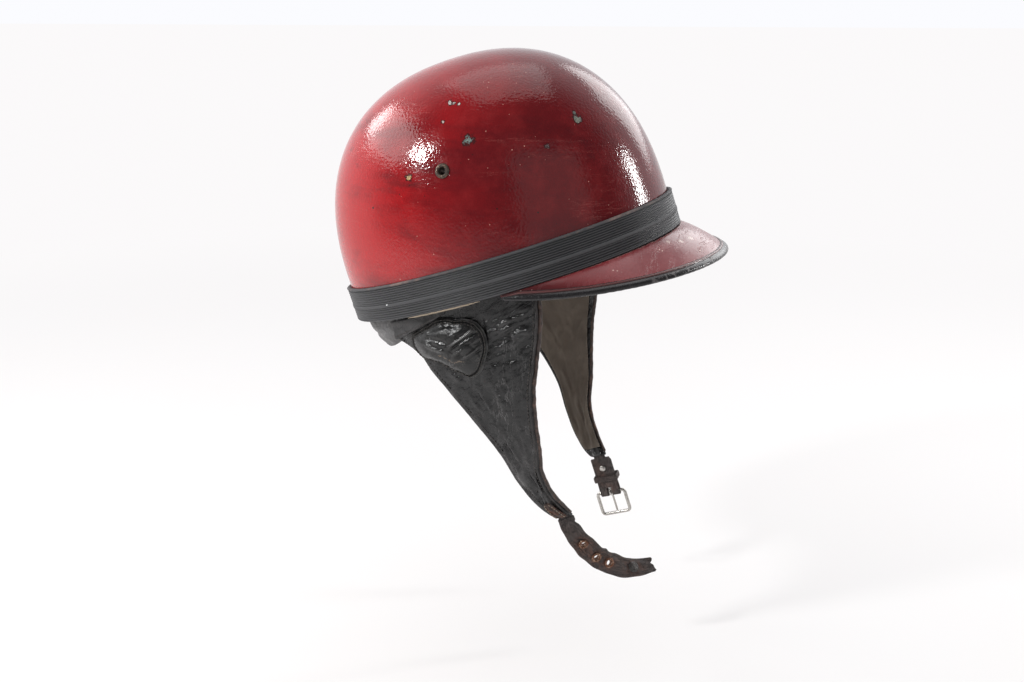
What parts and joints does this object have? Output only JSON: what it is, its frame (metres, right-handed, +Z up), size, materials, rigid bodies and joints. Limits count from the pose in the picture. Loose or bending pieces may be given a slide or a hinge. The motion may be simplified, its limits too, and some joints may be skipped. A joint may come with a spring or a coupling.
{
  "type": "motorcycle helmet",
  "caption": "Open-face oval helmet with a drooping peak, ribbed rubber rim band, laced cradle harness, hinging leather ear flaps, neck curtain, chin strap and buckle.",
  "frame": {"origin": "middle of the rim, in the plane of the rubber band's lower edge, at the middle of the oval", "axes": "worn attitude: +Z up, -Y ahead of the wearer, -X the wearer's right; the rim plane is tipped back 18.3 degrees about X, as in the picture"},
  "size_m": [0.2254, 0.3093, 0.4087],
  "materials": {
    "buckle_frame": "dull nickel plate",
    "buckle_prong": "dull nickel plate",
    "buckle_tab": "dry cracked leather",
    "chin_strap": "dry cracked leather",
    "cork_liner": "pressed cork",
    "cradle_strap_1": "cotton webbing",
    "cradle_strap_2": "cotton webbing",
    "cradle_strap_3": "cotton webbing",
    "cradle_strap_4": "cotton webbing",
    "cradle_strap_5": "cotton webbing",
    "cradle_strap_6": "cotton webbing",
    "crown_lace": "cotton lace",
    "ear_flap_left": "glossy creased black leather",
    "ear_flap_right": "glossy creased black leather",
    "ear_pocket_left": "glossy creased black leather",
    "ear_pocket_right": "glossy creased black leather",
    "flap_lining_left": "brushed cloth lining",
    "flap_lining_right": "brushed cloth lining",
    "flap_margin_left": "glossy creased black leather",
    "flap_margin_right": "glossy creased black leather",
    "flap_piping_left": "worn black leather piping",
    "flap_piping_right": "worn black leather piping",
    "flap_strip_left": "glossy creased black leather",
    "flap_strip_right": "glossy creased black leather",
    "harness_rivet_1": "dull nickel plate",
    "harness_rivet_2": "dull nickel plate",
    "harness_rivet_3": "dull nickel plate",
    "harness_rivet_4": "dull nickel plate",
    "harness_rivet_5": "dull nickel plate",
    "harness_rivet_6": "dull nickel plate",
    "harness_tape": "cotton tape",
    "keeper_loop": "dry cracked leather",
    "lace_knot": "cotton lace",
    "neck_curtain": "glossy creased black leather",
    "peak": "dull scuffed red enamel",
    "peak_binding": "stitched black binding",
    "press_stud": "dull nickel plate",
    "rim_band": "ribbed matt black rubber",
    "shell": "worn gloss red enamel over a fibre laminate",
    "strap_eyelet_1": "aged brass",
    "strap_eyelet_2": "aged brass",
    "strap_eyelet_3": "aged brass",
    "strap_lap_left": "dry cracked leather",
    "strap_lap_right": "dry cracked leather",
    "sweatband": "felt-backed tan leather",
    "tab_rivet": "dull nickel plate",
    "vent_eyelet_left": "aged brass",
    "vent_eyelet_right": "aged brass",
    "vent_washer_left": "aged brass",
    "vent_washer_right": "aged brass"
  },
  "bodies": {
    "helmet": {"shell": "shell", "rim_band": "rim_band", "peak": "peak", "peak_binding": "peak_binding", "cork_liner": "cork_liner", "vent_eyelet_right": "vent_eyelet_right", "vent_washer_right": "vent_washer_right", "vent_eyelet_left": "vent_eyelet_left", "vent_washer_left": "vent_washer_left", "harness_tape": "harness_tape", "cradle_strap_1": "cradle_strap_1", "harness_rivet_1": "harness_rivet_1", "cradle_strap_2": "cradle_strap_2", "harness_rivet_2": "harness_rivet_2", "cradle_strap_3": "cradle_strap_3", "harness_rivet_3": "harness_rivet_3", "cradle_strap_4": "cradle_strap_4", "harness_rivet_4": "harness_rivet_4", "cradle_strap_5": "cradle_strap_5", "harness_rivet_5": "harness_rivet_5", "cradle_strap_6": "cradle_strap_6", "harness_rivet_6": "harness_rivet_6", "crown_lace": "crown_lace", "lace_knot": "lace_knot", "sweatband": "sweatband", "flap_margin_right": "flap_margin_right", "flap_margin_left": "flap_margin_left", "neck_curtain": "neck_curtain"},
    "flap_right": {"ear_flap_right": "ear_flap_right", "flap_lining_right": "flap_lining_right", "flap_strip_right": "flap_strip_right", "ear_pocket_right": "ear_pocket_right", "flap_piping_right": "flap_piping_right", "strap_lap_right": "strap_lap_right"},
    "flap_left": {"ear_flap_left": "ear_flap_left", "flap_lining_left": "flap_lining_left", "flap_strip_left": "flap_strip_left", "ear_pocket_left": "ear_pocket_left", "flap_piping_left": "flap_piping_left", "strap_lap_left": "strap_lap_left"},
    "chin_strap": {"chin_strap": "chin_strap", "strap_eyelet_1": "strap_eyelet_1", "strap_eyelet_2": "strap_eyelet_2", "strap_eyelet_3": "strap_eyelet_3", "press_stud": "press_stud"},
    "buckle_tab": {"buckle_tab": "buckle_tab", "tab_rivet": "tab_rivet", "keeper_loop": "keeper_loop"},
    "buckle_frame": {"buckle_frame": "buckle_frame"},
    "buckle_prong": {"buckle_prong": "buckle_prong"}
  },
  "joints": [
    {"name": "flap_right_swing", "type": "hinge", "parent": "helmet", "child": "flap_right", "pos_m": [-0.09815, 0.00936, -0.01574], "axis": [0.0893, 0.9456, -0.3127], "range_deg": [-6, 80]},
    {"name": "flap_left_swing", "type": "hinge", "parent": "helmet", "child": "flap_left", "pos_m": [0.09815, 0.00936, -0.01574], "axis": [0.0893, -0.9456, 0.3127], "range_deg": [-6, 80]},
    {"name": "chin_strap_swing", "type": "hinge", "parent": "flap_right", "child": "chin_strap", "pos_m": [-0.06302, -0.05798, -0.17829], "axis": [0, 0.9494, -0.314], "range_deg": [-25, 30]},
    {"name": "buckle_tab_swing", "type": "hinge", "parent": "flap_left", "child": "buckle_tab", "pos_m": [0.06302, -0.05798, -0.17829], "axis": [0, -0.9494, 0.314], "range_deg": [-20, 30]},
    {"name": "buckle_frame_swing", "type": "hinge", "parent": "buckle_tab", "child": "buckle_frame", "pos_m": [0.06422, -0.06865, -0.21057], "axis": [0, -0.9494, 0.314], "range_deg": [-25, 30]},
    {"name": "buckle_prong_swing", "type": "hinge", "parent": "buckle_frame", "child": "buckle_prong", "pos_m": [0.06422, -0.06865, -0.21057], "axis": [0, -0.9494, 0.314], "range_deg": [0, 75]}
  ]
}
